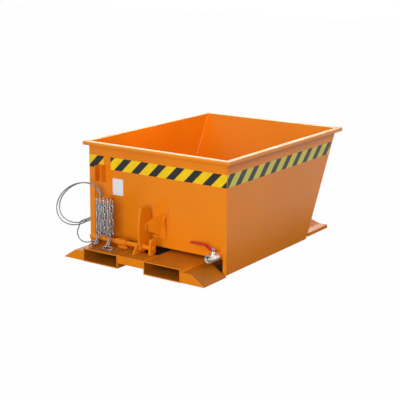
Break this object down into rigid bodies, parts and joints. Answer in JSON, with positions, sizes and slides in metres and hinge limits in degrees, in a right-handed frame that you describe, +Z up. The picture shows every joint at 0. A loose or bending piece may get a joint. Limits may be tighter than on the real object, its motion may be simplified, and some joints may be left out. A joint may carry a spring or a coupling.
{
  "type": "tipping skip",
  "caption": "Low open sheet-steel skip with a slanted pouring wall, tipping on a base with fork pockets, with a hook lock, drain valve, safety chain and pull rope.",
  "frame": {"origin": "on the ground under the middle of the box round the skip without its pull rope", "axes": "+Z up, +Y towards the slanted pouring wall, +X to the right seen from the fork side"},
  "size_m": [1.0082, 1.288, 0.551],
  "materials": {
    "orange_paint": "satin",
    "zinc_steel": "satin",
    "wire_rope": "satin",
    "ferrule_metal": "satin",
    "nickel_brass": "satin nickel plate",
    "bronze": "satin",
    "red_paint": "gloss",
    "white_plastic": "matte"
  },
  "bodies": {
    "base": {"fork_pocket_left": "orange_paint", "fork_pocket_right": "orange_paint", "front_cross_plate": "orange_paint", "middle_cross_plate": "orange_paint", "rear_cross_plate": "orange_paint", "front_wings": "orange_paint", "wing_end_plates": "orange_paint", "rear_wings": "orange_paint", "rest_pads": "orange_paint", "hinge_lugs": "orange_paint", "hinge_pins": "zinc_steel", "pin_rings": "zinc_steel", "bearing_block": "orange_paint", "bearing_post": "orange_paint", "bearing_bushes": "bronze", "bearing_cheek": "orange_paint", "chain_post": "orange_paint", "chain_staple": "orange_paint", "chain_anchored_strand": "zinc_steel", "chain_middle_strands": "zinc_steel", "chain_hook_strand": "zinc_steel", "snap_hook": "zinc_steel", "gate_pin": "zinc_steel"},
    "tub": {"left_wall": "orange_paint", "right_wall": "orange_paint", "front_wall": "orange_paint", "floor_plate": "orange_paint", "rear_wall": "orange_paint", "rim_front": "orange_paint", "rim_rear": "orange_paint", "rim_left": "orange_paint", "rim_right": "orange_paint", "runner_bars": "orange_paint", "hinge_arms": "orange_paint", "hinge_bushes": "bronze", "catch_nose": "orange_paint", "catch_cheeks": "orange_paint", "catch_backing": "orange_paint", "storage_bracket": "orange_paint", "label_plate": "white_plastic", "drain_socket": "orange_paint", "drain_nipple": "zinc_steel", "valve_body": "nickel_brass", "valve_end": "nickel_brass", "valve_seats": "white_plastic"},
    "valve_lever": {"valve_ball": "nickel_brass", "valve_stem": "zinc_steel", "valve_handle": "red_paint", "handle_nut": "zinc_steel"},
    "lock": {"lock_shaft": "orange_paint", "hook_plate": "orange_paint", "release_lever": "orange_paint", "rope_peg": "orange_paint", "rope_eye": "orange_paint", "shaft_collars": "orange_paint", "rope_ferrule": "ferrule_metal", "pull_rope_coil": "wire_rope", "pull_rope_tail": "wire_rope", "rope_sleeve": "ferrule_metal"},
    "gate": {"snap_gate": "zinc_steel"}
  },
  "joints": [
    {"name": "tub_tip", "type": "hinge", "parent": "base", "child": "tub", "pos_m": [0, 0.516, 0.096], "axis": [-1, 0, 0], "range_deg": [0, 105]},
    {"name": "lock_turn", "type": "hinge", "parent": "base", "child": "lock", "pos_m": [0, -0.524, 0.093], "axis": [1, 0, 0], "range_deg": [0, 25]},
    {"name": "valve_turn", "type": "hinge", "parent": "tub", "child": "valve_lever", "pos_m": [0.368, -0.492, 0.098], "axis": [0, 0, 1], "range_deg": [0, 90]},
    {"name": "gate_swing", "type": "hinge", "parent": "base", "child": "gate", "pos_m": [-0.1884, -0.60605, 0.0696], "axis": [0, -0.2917, 0.9565], "range_deg": [0, 30], "stiffness_Nm_per_rad": 0.05, "springref_deg": -11.46}
  ]
}
